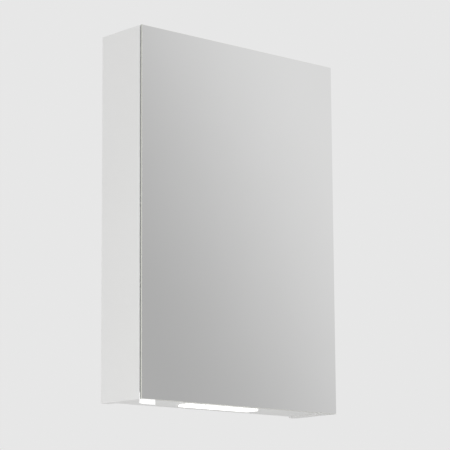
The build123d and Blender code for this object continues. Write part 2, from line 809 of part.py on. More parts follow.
rocker_half_height = well_height / 2 - rocker_play - rocker_rise * sin(radians(rocker_tilt))
tilt = radians(rocker_tilt)
rocker_plane = Plane(
    origin=(switch_x, pivot_y, switch_z),
    x_dir=(0, cos(tilt), sin(tilt)),
    z_dir=(1, 0, 0),
)
with BuildPart() as rocker:
    with BuildSketch(rocker_plane.offset(-well_width / 2 + rocker_play)):
        with BuildLine():
            dish = ThreePointArc(
                (-rocker_rise, rocker_half_height),
                (-rocker_rise + rocker_half_height * sin(tilt), 0),
                (-rocker_rise, -rocker_half_height),
            )
            lower_side = Line(dish @ 1, (0, -rocker_half_height))
            belly = ThreePointArc(
                lower_side @ 1,
                (rocker_belly_radius, 0),
                (0, rocker_half_height),
            )
            Line(belly @ 1, dish @ 0)
        make_face()
    extrude(amount=well_width - 2 * rocker_play)
    with BuildSketch(rocker_plane.offset(-well_width / 2 - rocker_pin_length)):
        Circle(rocker_pin_radius)
    extrude(amount=well_width + 2 * rocker_pin_length)
keep(rocker, "rocker")


# Mounting plate of a hinge: a wing screwed to the side board, and a rail for the arm
def mounting_plate(level):
    with BuildPart() as made:
        with BuildSketch(facing(1, inner_half, plate_y, level)):
            SlotOverall(plate_wing_height, plate_wing_width, rotation=90)
        extrude(amount=plate_wing_thickness)
        with BuildSketch(facing(1, inner_half, rail_mid_y, level)):
            Rectangle(rail_length, 2 * rail_half_height)
        extrude(amount=rail_reach)
        fillet(made.edges().filter_by(Axis.Z).group_by(Axis.X)[0], rail_round)
        with Locations(facing(1, inner_half - plate_wing_thickness, plate_y, level)):
            with GridLocations(0, plate_screw_spacing, 1, 2):
                CounterSinkHole(
                    plate_screw_radius,
                    plate_screw_head_radius,
                    2 * plate_wing_thickness,
                    countersink_angle,
                )
        with Locations(facing(1, inner_half - rail_reach, rail_mid_y, level)):
            with GridLocations(arm_screw_spacing, 0, 2, 1):
                Hole(arm_screw_radius, arm_screw_length)
    return made


# Arm of a hinge: bent sheet, two cheeks that carry the links, and a tail that sits over the rail
def hinge_arm(level):
    middle = Plane.XY.offset(level)
    corner = (arm_web_x + arm_end_radius, rail_front_y)
    with BuildPart() as made:
        with BuildSketch(middle):
            with Locations(arm_outer, arm_inner, corner):
                Circle(arm_end_radius)
            make_hull()
        extrude(amount=arm_half_height, both=True)
        with BuildSketch(middle):
            with Locations((arm_web_x + arm_tail_reach / 2, rail_mid_y)):
                Rectangle(arm_tail_reach, rail_length)
        extrude(amount=arm_half_height, both=True)
        with BuildSketch(middle):
            with Locations(arm_inner, corner, (corner[0] + cup_width, corner[1])):
                Circle(arm_end_radius - arm_sheet)
            with Locations((arm_inner[0], door_rear), (corner[0] + cup_width, door_rear)):
                Circle(arm_end_radius - arm_sheet)
            make_hull()
        extrude(amount=arm_half_height - arm_sheet, both=True, mode=Mode.SUBTRACT)
        with BuildSketch(middle):
            with Locations((inner_half - rail_reach / 2, rail_mid_y)):
                Rectangle(rail_reach, rail_length)
        extrude(amount=arm_half_height - arm_sheet, both=True, mode=Mode.SUBTRACT)
        with Locations((*arm_outer, level), (*arm_inner, level)):
            Cylinder(hinge_pin_radius, 2 * arm_half_height, mode=Mode.SUBTRACT)
        with Locations(facing(1, arm_web_x, rail_mid_y, level)):
            with GridLocations(arm_screw_spacing, 0, 2, 1):
                Hole(arm_screw_radius + hinge_pin_play, arm_sheet)
    return made


def along(start, finish, level):
    """Level plane with its origin at one pivot and its local x running to another."""
    run = (finish[0] - start[0], finish[1] - start[1], 0)
    return Plane(origin=(*start, level), x_dir=run, z_dir=(0, 0, 1))


def span(start, finish):
    """Distance between two pivots."""
    return ((finish[0] - start[0]) ** 2 + (finish[1] - start[1]) ** 2) ** 0.5


# Outer link: two flat bars, outside the cup's lugs and inside the arm's cheeks, so that the inner
# link can pass between them
def outer_link(level):
    length = span(arm_outer, cup_outer)
    bar_low = outer_link_half_height - link_sheet
    with BuildPart() as made:
        for bar_z in (level + bar_low, level - outer_link_half_height):
            with BuildSketch(along(arm_outer, cup_outer, bar_z)):
                with Locations((0, 0), (length, 0)):
                    Circle(link_end_radius)
                make_hull()
                with Locations((0, 0), (length, 0)):
                    Circle(hinge_pin_radius + hinge_pin_play, mode=Mode.SUBTRACT)
            extrude(amount=link_sheet)
    return made


# Inner link: a bar between the cup's lugs, with a hub at the arm and a slot round the cup's rivet
def inner_link(level):
    length = span(arm_inner, cup_inner)
    place = along(arm_inner, cup_inner, level)
    slot_radius = hinge_pin_radius + slot_play
    slot_middle = length + (slot_outward - slot_inward) / 2
    hub_half_height = arm_half_height - arm_sheet - hub_end_gap
    with BuildPart() as made:
        with BuildSketch(place):
            Circle(link_end_radius)
            with Locations((length - slot_inward, 0), (length + slot_outward, 0)):
                Circle(slot_radius + slot_wall)
            make_hull()
            with Locations((slot_middle, 0)):
                SlotCenterToCenter(slot_inward + slot_outward, 2 * slot_radius, mode=Mode.SUBTRACT)
        extrude(amount=inner_link_half_height, both=True)
        with Locations(place):
            Cylinder(link_end_radius, 2 * hub_half_height)
            Cylinder(
                hinge_pin_radius + hinge_pin_play,
                2 * hub_half_height,
                mode=Mode.SUBTRACT,
            )
    return made


# Cup of a hinge: a base bonded to the rear mirror, with two lugs that carry the cup's rivets
def hinge_cup(level):
    lug_root = (cup_edge_x - lug_root_inset - lug_root_width / 2, door_rear + cup_sheet / 2)
    hollow = (lug_root[0], door_rear + cup_sheet + cup_width / 2)
    with BuildPart() as made:
        with BuildSketch(Plane.XZ.offset(-door_rear)):
            with Locations((cup_edge_x - cup_width / 2, level)):
                RectangleRounded(cup_width, cup_height, cup_corner_radius)
        extrude(amount=-cup_sheet)
        with BuildSketch(Plane.XY.offset(level)):
            with Locations(cup_outer, cup_inner):
                Circle(link_end_radius)
            with Locations(lug_root):
                Rectangle(lug_root_width, cup_sheet)
            make_hull()
        extrude(amount=lug_outer_half, both=True)
        with BuildSketch(Plane.XY.offset(level)):
            with Locations(hollow):
                Rectangle(cup_width, cup_width)
        extrude(amount=lug_inner_half, both=True, mode=Mode.SUBTRACT)
        with Locations((*cup_outer, level), (*cup_inner, level)):
            Cylinder(hinge_pin_radius, 2 * lug_outer_half, mode=Mode.SUBTRACT)
    return made


def rivet(place, level, low, high, low_head, high_head):
    """Round pin from low to high above the hinge's middle, with a flat head at each end."""
    with Locations((*place, level + (low + high) / 2)):
        Cylinder(hinge_pin_radius, high - low)
    if low_head > 0:
        with Locations((*place, level + low - low_head / 2)):
            Cylinder(rivet_head_radius, low_head)
    if high_head > 0:
        with Locations((*place, level + high + high_head / 2)):
            Cylinder(rivet_head_radius, high_head)


for hinge_name, level in zip(hinge_names, hinge_levels):
    keep(mounting_plate(level), "hinge_plate_" + hinge_name)
    keep(hinge_arm(level), "hinge_arm_" + hinge_name)
    keep(outer_link(level), "hinge_outer_link_" + hinge_name)
    keep(inner_link(level), "hinge_inner_link_" + hinge_name)
    keep(hinge_cup(level), "hinge_cup_" + hinge_name)

# Rivets that the links turn on. The inner link sweeps across the outer link's pivots, so the
# outer link has short rivets at each side of it
stub_low = outer_link_half_height - link_sheet - hinge_pin_play
with BuildPart() as hinge_arm_rivets:
    for level in hinge_levels:
        rivet(arm_inner, level, -arm_half_height, arm_half_height, arm_rivet_head, arm_rivet_head)
        rivet(arm_outer, level, stub_low, arm_half_height, cup_rivet_head, arm_rivet_head)
        rivet(arm_outer, level, -arm_half_height, -stub_low, arm_rivet_head, cup_rivet_head)
keep(hinge_arm_rivets, "hinge_arm_rivets")

stub_high = outer_link_half_height + hinge_pin_play
with BuildPart() as hinge_cup_rivets:
    for level in hinge_levels:
        rivet(cup_inner, level, -lug_outer_half, lug_outer_half, cup_rivet_head, cup_rivet_head)
        rivet(cup_outer, level, lug_inner_half, stub_high, 0, cup_rivet_head)
        rivet(cup_outer, level, -stub_high, -lug_inner_half, cup_rivet_head, 0)
keep(hinge_cup_rivets, "hinge_cup_rivets")

# Countersunk screws that hold the mounting plates
screw_cone = (plate_screw_head_radius - plate_screw_radius) / tan(radians(countersink_angle / 2))
hanging_down = (Align.CENTER, Align.CENTER, Align.MAX)
with BuildPart() as hinge_plate_screws:
    for level in hinge_levels:
        with Locations(facing(1, inner_half - plate_wing_thickness, plate_y, level)):
            with GridLocations(0, plate_screw_spacing, 1, 2):
                Cone(plate_screw_radius, plate_screw_head_radius, screw_cone, align=hanging_down)
                Cylinder(
                    plate_screw_radius,
                    plate_wing_thickness + plate_screw_depth,
                    align=hanging_down,
                )
keep(hinge_plate_screws, "hinge_plate_screws")

# Pan-head screws that clamp the arms to their plates
with BuildPart() as hinge_arm_screws:
    for level in hinge_levels:
        with Locations(facing(1, arm_web_x, rail_mid_y, level)):
            with GridLocations(arm_screw_spacing, 0, 2, 1):
                Cylinder(
                    arm_screw_head_radius,
                    arm_screw_head_height,
                    align=(Align.CENTER, Align.CENTER, Align.MIN),
                )
                Cylinder(
                    arm_screw_radius,
                    arm_sheet + arm_screw_length - dowel_end_gap,
                    align=hanging_down,
                )
keep(hinge_arm_screws, "hinge_arm_screws")

for piece in finished:
    export_step(piece, "parts/" + piece.label + ".step")
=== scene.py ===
"""Looks of a wall-hung mirror cabinet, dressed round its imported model.

Lengths are in metres. X runs to the right, Y from the door to the wall and Z up, with the origin
on the wall plane between the four screw holes of the wall plates.
"""

import logging
import math
from dataclasses import dataclass, field, replace
from enum import Enum
from typing import Any, Sequence

import bpy
import numpy as np
from mathutils import Matrix, Vector

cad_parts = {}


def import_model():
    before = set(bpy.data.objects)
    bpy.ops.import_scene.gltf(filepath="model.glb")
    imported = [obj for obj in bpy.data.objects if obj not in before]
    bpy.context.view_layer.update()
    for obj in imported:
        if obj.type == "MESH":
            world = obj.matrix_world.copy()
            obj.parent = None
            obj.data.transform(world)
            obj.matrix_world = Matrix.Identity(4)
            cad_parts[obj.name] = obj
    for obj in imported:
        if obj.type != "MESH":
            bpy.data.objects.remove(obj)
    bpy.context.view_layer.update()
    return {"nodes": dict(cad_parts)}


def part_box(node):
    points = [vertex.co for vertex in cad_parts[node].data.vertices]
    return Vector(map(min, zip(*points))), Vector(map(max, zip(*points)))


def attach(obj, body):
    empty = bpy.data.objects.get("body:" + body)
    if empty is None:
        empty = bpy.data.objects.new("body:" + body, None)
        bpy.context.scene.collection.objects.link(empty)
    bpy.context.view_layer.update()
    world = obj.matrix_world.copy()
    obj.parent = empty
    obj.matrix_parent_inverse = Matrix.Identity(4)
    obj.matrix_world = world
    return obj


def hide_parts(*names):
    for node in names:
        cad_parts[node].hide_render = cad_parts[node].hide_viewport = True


log = logging.getLogger("mirror_cabinet")

Colour = tuple[float, float, float]
IMAGE_SIDE = 450
SENSOR_WIDTH = 36.0
CLIP_END = 100.0

# Places of the colour sockets on a Mix node, whose names repeat for each kind of value.
MIX_FIRST = 6
MIX_SECOND = 7
MIX_RESULT = 2


class Grain(Enum):
    """Kinds of small relief that a finish can carry."""

    ORANGE_PEEL = "orange peel of a lacquer or foil"
    BRUSHED = "fine lines along one axis"
    CAST = "fine sand of a moulded surface"
    POLISHED = "nothing but faint waviness"


@dataclass(frozen=True)
class Pattern:
    """Size and character of a fractal noise.

    Attributes:
        scale: Noise scale per metre, along X, Y and Z.
        detail: Octaves of the noise.
        distortion: How far the noise folds back on itself.
    """

    scale: tuple[float, float, float]
    detail: float = 2.0
    distortion: float = 0.0


@dataclass(frozen=True)
class Relief:
    """Relief of one kind of grain.

    Attributes:
        pattern: Noise that the relief follows.
        distance: Height of the relief, in metres.
    """

    pattern: Pattern
    distance: float


RELIEFS: dict[Grain, Relief] = {
    Grain.ORANGE_PEEL: Relief(Pattern((620.0, 620.0, 620.0), 3.0), 0.00003),
    Grain.BRUSHED: Relief(Pattern((260.0, 2600.0, 2600.0), 4.0), 0.00002),
    Grain.CAST: Relief(Pattern((2400.0, 2400.0, 2400.0), 2.0), 0.00003),
    Grain.POLISHED: Relief(Pattern((45.0, 45.0, 45.0), 2.0), 0.00001),
}

SOILING = Pattern((7.0, 7.0, 7.0), 4.0, 0.4)
WEAR = Pattern((34.0, 34.0, 34.0), 5.0, 0.2)
EDGE_STREAKS = Pattern((60.0, 900.0, 60.0), 2.0)
EDGE_STREAK_SHARE = 0.5
EDGE_PALER = 1.12
GLASS_CLOUD = Pattern((9.0, 9.0, 9.0), 3.0)
GLASS_SMUDGE = Pattern((22.0, 22.0, 22.0), 5.0, 0.6)
LAMP_RIPPLE = Pattern((90.0, 20.0, 20.0), 1.0)
LAMP_WEAKEST = 0.94


class Graph:
    """Short-hand for adding and wiring nodes of one shader tree."""

    def __init__(self, tree: bpy.types.NodeTree) -> None:
        """Empty the tree and remember it."""
        self.tree = tree
        self.tree.nodes.clear()

    def add(self, kind: str, **settings: Any) -> bpy.types.Node:
        """Add a node.

        Args:
            kind: Type name of the node.
            settings: Attributes to set on it; a key that starts with "in_" sets an input.

        Returns:
            The node.
        """
        node = self.tree.nodes.new(kind)
        for key, value in settings.items():
            if key.startswith("in_"):
                node.inputs[key[3:].replace("_", " ")].default_value = value
            else:
                setattr(node, key, value)
        return node

    def wire(self, source: bpy.types.NodeSocket, target: bpy.types.NodeSocket) -> None:
        """Join an output to an input."""
        self.tree.links.new(source, target)

    def object_coordinates(self) -> bpy.types.NodeSocket:
        """Give the piece's own coordinates, in metres."""
        return self.add("ShaderNodeTexCoord").outputs["Object"]

    def noise(self, pattern: Pattern) -> bpy.types.NodeSocket:
        """Add fractal noise on Object coordinates.

        Args:
            pattern: Size and character of the noise.

        Returns:
            The noise value, about 0 to 1.
        """
        stretch = self.add("ShaderNodeMapping", in_Scale=pattern.scale)
        self.wire(self.object_coordinates(), stretch.inputs["Vector"])
        noise = self.add(
            "ShaderNodeTexNoise",
            in_Scale=1.0,
            in_Detail=pattern.detail,
            in_Distortion=pattern.distortion,
        )
        self.wire(stretch.outputs["Vector"], noise.inputs["Vector"])
        return noise.outputs["Fac"]

    def spread(
        self,
        value: bpy.types.NodeSocket,
        low: float,
        high: float,
        start: float = 0.3,
        end: float = 0.7,
    ) -> bpy.types.NodeSocket:
        """Stretch a value from start..end to low..high, held at both ends."""
        node = self.add("ShaderNodeMapRange")
        node.inputs["From Min"].default_value = start
        node.inputs["From Max"].default_value = end
        node.inputs["To Min"].default_value = low
        node.inputs["To Max"].default_value = high
        self.wire(value, node.inputs["Value"])
        return node.outputs["Result"]

    def between(
        self, share: bpy.types.NodeSocket, first: Colour, second: Colour
    ) -> bpy.types.NodeSocket:
        """Mix two colours by a share from 0 to 1."""
        node = self.add("ShaderNodeMix", data_type="RGBA")
        node.inputs[MIX_FIRST].default_value = (*first, 1.0)
        node.inputs[MIX_SECOND].default_value = (*second, 1.0)
        self.wire(share, node.inputs["Factor"])
        return node.outputs[MIX_RESULT]


@dataclass(frozen=True)
class Finish:
    """A surface with a colour that drifts a little, worn gloss and small relief.

    Attributes:
        name: Name of the material.
        colour: Main colour.
        soil: Colour of the faint drift towards handled and dusty places.
        drift: Largest share of the soil colour.
        gloss: Lowest and highest roughness.
        metal: 1 for bare metal, otherwise 0.
        grain: Kind of relief.
        relief: Strength of the relief.
        coat: Weight of a clear coat.
        ior: Index of refraction.
    """

    name: str
    colour: Colour
    soil: Colour
    drift: float = 0.06
    gloss: tuple[float, float] = (0.35, 0.45)
    metal: float = 0.0
    grain: Grain = Grain.ORANGE_PEEL
    relief: float = 0.3
    coat: float = 0.0
    ior: float = 1.5

    def build(self) -> bpy.types.Material:
        """Make the material.

        Returns:
            The new material, ready for a slot.
        """
        material = bpy.data.materials.new(self.name)
        material.use_nodes = True
        graph = Graph(material.node_tree)
        output = graph.add("ShaderNodeOutputMaterial")
        graph.wire(self.surface(graph), output.inputs["Surface"])
        return material

    def surface(self, graph: Graph) -> bpy.types.NodeSocket:
        """Wire the main shader and give its output."""
        shader = graph.add("ShaderNodeBsdfPrincipled")
        shader.inputs["Metallic"].default_value = self.metal
        shader.inputs["IOR"].default_value = self.ior
        shader.inputs["Coat Weight"].default_value = self.coat
        share = graph.spread(graph.noise(SOILING), 0.0, self.drift)
        graph.wire(graph.between(share, self.colour, self.soil), shader.inputs["Base Color"])
        graph.wire(graph.spread(graph.noise(WEAR), *self.gloss), shader.inputs["Roughness"])
        graph.wire(self.bumps(graph), shader.inputs["Normal"])
        return shader.outputs["BSDF"]

    def bumps(self, graph: Graph) -> bpy.types.NodeSocket:
        """Wire the relief and give its normal."""
        relief = RELIEFS[self.grain]
        bump = graph.add("ShaderNodeBump", in_Strength=self.relief, in_Distance=relief.distance)
        graph.wire(graph.noise(relief.pattern), bump.inputs["Height"])
        return bump.outputs["Normal"]


@dataclass(frozen=True)
class MirrorFinish(Finish):
    """Silvered sheet glass: a mirror on its broad faces, and another finish on its ground edge. On
    the rear sheet that edge is painted dark, as shade for the gap between door and carcass.

    The edge is what lies outside a rectangle of the sheet's own X and Z, one arris in from its box.

    Attributes:
        edge: Colour of the edge; the rear sheet's dark one is painted shade for the gap beside the
            door.
        edge_roughness: Roughness of the edge.
        middle: Middle of the sheet along X and Z.
        reach: Half width and half height of the broad face.
    """

    edge: Colour = (0.62, 0.63, 0.58)
    edge_roughness: float = 0.22
    middle: tuple[float, float] = (0.0, 0.0)
    reach: tuple[float, float] = (1.0, 1.0)

    def surface(self, graph: Graph) -> bpy.types.NodeSocket:
        """Wire silver and edge, chosen by the place on the sheet."""
        silver = super().surface(graph)
        rim = graph.add("ShaderNodeBsdfPrincipled")
        rim.inputs["Roughness"].default_value = self.edge_roughness
        streaks = graph.spread(graph.noise(EDGE_STREAKS), 0.0, EDGE_STREAK_SHARE)
        pale = tuple(min(1.0, EDGE_PALER * channel) for channel in self.edge)
        graph.wire(graph.between(streaks, self.edge, pale), rim.inputs["Base Color"])
        parts = graph.add("ShaderNodeSeparateXYZ")
        graph.wire(graph.object_coordinates(), parts.inputs["Vector"])
        inside_x = self.within(graph, parts.outputs["X"], self.middle[0], self.reach[0])
        inside_z = self.within(graph, parts.outputs["Z"], self.middle[1], self.reach[1])
        both = graph.add("ShaderNodeMath", operation="MULTIPLY")
        graph.wire(inside_x, both.inputs[0])
        graph.wire(inside_z, both.inputs[1])
        mix = graph.add("ShaderNodeMixShader")
        graph.wire(both.outputs["Value"], mix.inputs["Fac"])
        graph.wire(rim.outputs["BSDF"], mix.inputs[1])
        graph.wire(silver, mix.inputs[2])
        return mix.outputs["Shader"]

    def within(
        self, graph: Graph, value: bpy.types.NodeSocket, middle: float, reach: float
    ) -> bpy.types.NodeSocket:
        """Give 1 where the value is nearer to the middle than the reach, otherwise 0."""
        offset = graph.add("ShaderNodeMath", operation="SUBTRACT")
        offset.inputs[1].default_value = middle
        graph.wire(value, offset.inputs[0])
        distance = graph.add("ShaderNodeMath", operation="ABSOLUTE")
        graph.wire(offset.outputs["Value"], distance.inputs[0])
        near = graph.add("ShaderNodeMath", operation="LESS_THAN")
        near.inputs[1].default_value = reach
        graph.wire(distance.outputs["Value"], near.inputs[0])
        return near.outputs["Value"]

    def fitted(self, box: tuple[Vector, Vector], arris: float) -> "MirrorFinish":
        """Fit the finish to a sheet.

        Args:
            box: Least and greatest corner of the sheet.
            arris: Width of the ground edge.

        Returns:
            A copy of the finish for that sheet.
        """
        low, high = box
        return replace(
            self,
            middle=((low[0] + high[0]) / 2, (low[2] + high[2]) / 2),
            reach=((high[0] - low[0]) / 2 - arris, (high[2] - low[2]) / 2 - arris),
        )


@dataclass(frozen=True)
class ShelfGlass(Finish):
    """Clear float glass with a green tint, smudged a little where it is handled."""

    def surface(self, graph: Graph) -> bpy.types.NodeSocket:
        """Wire clear glass with a drift in its roughness."""
        glass = graph.add("ShaderNodeBsdfPrincipled")
        glass.inputs["Transmission Weight"].default_value = 1.0
        glass.inputs["IOR"].default_value = self.ior
        cloud = graph.spread(graph.noise(GLASS_CLOUD), 0.0, self.drift)
        graph.wire(graph.between(cloud, self.colour, self.soil), glass.inputs["Base Color"])
        smudge = graph.spread(graph.noise(GLASS_SMUDGE), *self.gloss)
        graph.wire(smudge, glass.inputs["Roughness"])
        graph.wire(self.bumps(graph), glass.inputs["Normal"])
        return glass.outputs["BSDF"]


@dataclass(frozen=True)
class LitFinish(Finish):
    """Glowing finish of the lamp's lens and chip, which give light, and of the grip, which gives
    none: its faint glow is a painted highlight.

    Attributes:
        glow: Colour of the light.
        strength: Brightness, where 1 is white in the picture.
    """

    glow: Colour = (1.0, 0.985, 0.94)
    strength: float = 1.0

    def surface(self, graph: Graph) -> bpy.types.NodeSocket:
        """Wire the moulding and add its glow, which a noise weakens a little in places."""
        base = super().surface(graph)
        shader = base.node
        ripple = graph.spread(graph.noise(LAMP_RIPPLE), LAMP_WEAKEST, 1.0)
        bright = graph.add("ShaderNodeMath", operation="MULTIPLY")
        bright.inputs[1].default_value = self.strength
        graph.wire(ripple, bright.inputs[0])
        shader.inputs["Emission Color"].default_value = (*self.glow, 1.0)
        graph.wire(bright.outputs["Value"], shader.inputs["Emission Strength"])
        return base


WHITE_BOARD = Finish(
    "white_faced_board", (0.80, 0.80, 0.795), (0.72, 0.71, 0.69), 0.10, (0.30, 0.42), relief=0.35
)
BACK_SHEET = Finish(
    "lacquered_back_sheet", (0.76, 0.76, 0.755), (0.68, 0.67, 0.64), 0.14, (0.42, 0.55), relief=0.5
)
BEECH = Finish(
    "beech_dowel", (0.62, 0.44, 0.25), (0.48, 0.32, 0.17), 0.5, (0.5, 0.65), grain=Grain.BRUSHED
)
FRONT_SILVER = MirrorFinish(
    "front_silvered_glass", (0.94, 0.94, 0.938), (0.915, 0.915, 0.91), 0.4, (0.0, 0.018),
    metal=1.0, grain=Grain.POLISHED, relief=0.02, edge=(0.66, 0.66, 0.61), edge_roughness=0.16,
)
# The rear sheet's dark edge colour is painted shade: it darkens the gap between the door and the
# side board.
REAR_SILVER = MirrorFinish(
    "rear_silvered_glass", (0.93, 0.93, 0.928), (0.90, 0.90, 0.895), 0.4, (0.0, 0.018),
    metal=1.0, grain=Grain.POLISHED, relief=0.02, edge=(0.20, 0.21, 0.20), edge_roughness=0.35,
)
BOND = Finish(
    "bonding_film", (0.30, 0.31, 0.29), (0.24, 0.25, 0.23), 0.3, (0.30, 0.40), grain=Grain.POLISHED
)
# The grip is no lamp: its faint glow is a painted highlight that brightens its front.
GRIP_PAINTED_GLOW = LitFinish(
    "grip_painted_glow", (0.90, 0.90, 0.90), (0.84, 0.83, 0.81), 0.10, (0.12, 0.20),
    grain=Grain.POLISHED, relief=0.2, coat=0.4, glow=(1.0, 1.0, 0.99), strength=0.22,
)
BUFFER = Finish(
    "soft_buffer", (0.74, 0.77, 0.77), (0.66, 0.68, 0.67), 0.2, (0.25, 0.35), grain=Grain.POLISHED
)
SHELF = ShelfGlass(
    "clear_shelf_glass", (0.90, 0.975, 0.94), (0.86, 0.95, 0.91), 0.3, (0.0, 0.03),
    grain=Grain.POLISHED, relief=0.03, ior=1.52,
)
NICKEL = Finish(
    "nickel_plate", (0.70, 0.69, 0.66), (0.58, 0.56, 0.52), 0.35, (0.16, 0.30),
    metal=1.0, grain=Grain.ORANGE_PEEL, relief=0.25,
)
ZINC = Finish(
    "zinc_plate", (0.60, 0.63, 0.66), (0.52, 0.52, 0.50), 0.4, (0.30, 0.46),
    metal=1.0, grain=Grain.BRUSHED, relief=0.4,
)
RIVET_STEEL = Finish(
    "rivet_steel", (0.52, 0.53, 0.54), (0.42, 0.41, 0.39), 0.4, (0.24, 0.36),
    metal=1.0, grain=Grain.CAST, relief=0.3,
)
WHITE_MOULDING = Finish(
    "white_moulding", (0.80, 0.80, 0.79), (0.72, 0.71, 0.68), 0.15, (0.42, 0.52), grain=Grain.CAST
)
DRIVER_MOULDING = Finish(
    "driver_moulding", (0.74, 0.75, 0.76), (0.64, 0.64, 0.63), 0.2, (0.45, 0.58), grain=Grain.CAST
)
SWITCH_WHITE = Finish(
    "switch_moulding", (0.85, 0.85, 0.84), (0.78, 0.77, 0.74), 0.12, (0.16, 0.24),
    grain=Grain.POLISHED, relief=0.3, coat=0.2,
)
TRAY_METAL = Finish(
    "tray_aluminium", (0.74, 0.75, 0.76), (0.66, 0.66, 0.66), 0.3, (0.28, 0.42),
    metal=1.0, grain=Grain.BRUSHED, relief=0.5,
)
STRIP_LIT = LitFinish(
    "lit_strip", (0.86, 0.85, 0.78), (0.80, 0.78, 0.66), 0.3, (0.4, 0.5),
    grain=Grain.CAST, strength=1.4,
)
LENS_LIT = LitFinish(
    "lit_opal_lens", (0.88, 0.88, 0.86), (0.84, 0.84, 0.80), 0.1, (0.22, 0.30),
    grain=Grain.CAST, relief=0.2, strength=1.7,
)
LEAD_SHEATH = Finish(
    "lead_sheath", (0.78, 0.78, 0.77), (0.68, 0.67, 0.64), 0.2, (0.4, 0.5), grain=Grain.CAST
)
PALE_FLOOR = Finish(
    "pale_floor", (0.72, 0.72, 0.715), (0.66, 0.66, 0.65), 0.2, (0.7, 0.8), relief=0.1
)


class HeadShape(Enum):
    """Outline of a screw's head."""

    COUNTERSUNK = "flat face over a cone"
    PAN = "flat face with a rounded rim over a straight collar"


# Rings on a screw's face: innermost and outermost as shares of the head's radius, and how many.
FACE_RINGS = (0.05, 0.78, 18)
# Rounded rim of a pan head, as a share of the head's radius, and its rings.
RIM_ROUND = 0.2
RIM_RINGS = 6
# Blunt tip of a screw: its length and end radius, as shares of the shank's radius.
TIP_LENGTH = 0.8
TIP_RADIUS = 0.35
# Width of the cross's sloping walls, as a share of the arm's half width and of its reach.
WALL_SHARE = 0.3
END_SHARE = 0.2
SHARP_ANGLE = 28.0


